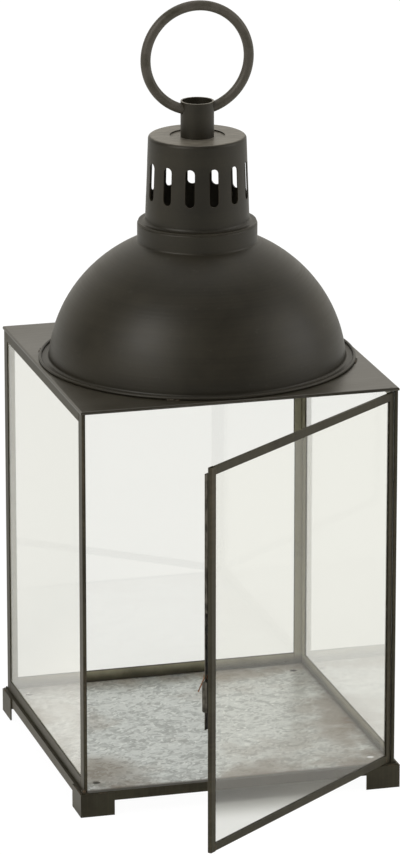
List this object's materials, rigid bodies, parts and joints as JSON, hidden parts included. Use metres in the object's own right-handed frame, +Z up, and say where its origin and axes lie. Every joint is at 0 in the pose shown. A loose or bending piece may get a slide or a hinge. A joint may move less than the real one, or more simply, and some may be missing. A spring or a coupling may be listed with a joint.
{
  "type": "floor lantern",
  "caption": "Square glazed metal floor lantern with a hinged door, spun dome, slotted chimney and ring handle, for candles",
  "frame": {"origin": "centre of the lantern's square footprint, on the ground it stands on", "axes": "+Z up, +X to the right seen from the front, +Y to the back; the door is in the front, -Y, side and its pins are at the right"},
  "size_m": [0.3, 0.4736, 0.7093],
  "materials": {
    "case_paint": "dark bronze-black satin paint over spun and folded steel, faint spinning marks",
    "worn_paint": "the same dark paint rubbed brown along the edges",
    "bare_steel": "blackened spring steel, dull",
    "zinc": "spangled zinc sheet, pale grey with faint brown stains at the edges",
    "glass": "clear window glass, 2 mm, slightly green",
    "copper": "dull brown copper rivet and wire"
  },
  "bodies": {
    "lantern": {"dome": "case_paint", "roof_plate": "case_paint", "chimney": "case_paint", "neck_disc": "case_paint", "left_rear_stile": "case_paint", "left_top_rail": "case_paint", "left_bottom_rail": "case_paint", "rear_left_stile": "case_paint", "rear_right_stile": "case_paint", "rear_top_rail": "case_paint", "rear_bottom_rail": "case_paint", "right_rear_stile": "case_paint", "right_top_rail": "case_paint", "right_bottom_rail": "case_paint", "skirt_front": "case_paint", "skirt_rear": "case_paint", "skirt_left": "case_paint", "skirt_right": "case_paint", "foot_front_left": "case_paint", "foot_front_right": "case_paint", "foot_rear_left": "case_paint", "foot_rear_right": "case_paint", "left_front_stile": "worn_paint", "right_front_stile": "worn_paint", "neck_tube": "worn_paint", "neck_washer": "worn_paint", "hinge_pin_upper": "bare_steel", "hinge_pin_lower": "bare_steel", "floor_plate": "zinc", "glass_left": "glass", "glass_rear": "glass", "glass_right": "glass"},
    "door": {"door_hinge_stile": "worn_paint", "door_free_stile": "worn_paint", "door_top_rail": "case_paint", "door_bottom_rail": "case_paint", "door_glass": "glass", "catch_carrier": "bare_steel", "catch_spring": "bare_steel", "catch_nub": "bare_steel", "catch_rivet": "copper"},
    "handle": {"ring_handle": "worn_paint"}
  },
  "joints": [
    {"name": "door_hinge", "type": "hinge", "parent": "lantern", "child": "door", "pos_m": [0.1402, -0.144, 0.2], "axis": [0, 0, 1], "range_deg": [-39.2, 55.8]},
    {"name": "handle_swing", "type": "hinge", "parent": "lantern", "child": "handle", "pos_m": [0, 0, 0.6109], "axis": [1, 0, 0], "range_deg": [-144, 144]}
  ]
}
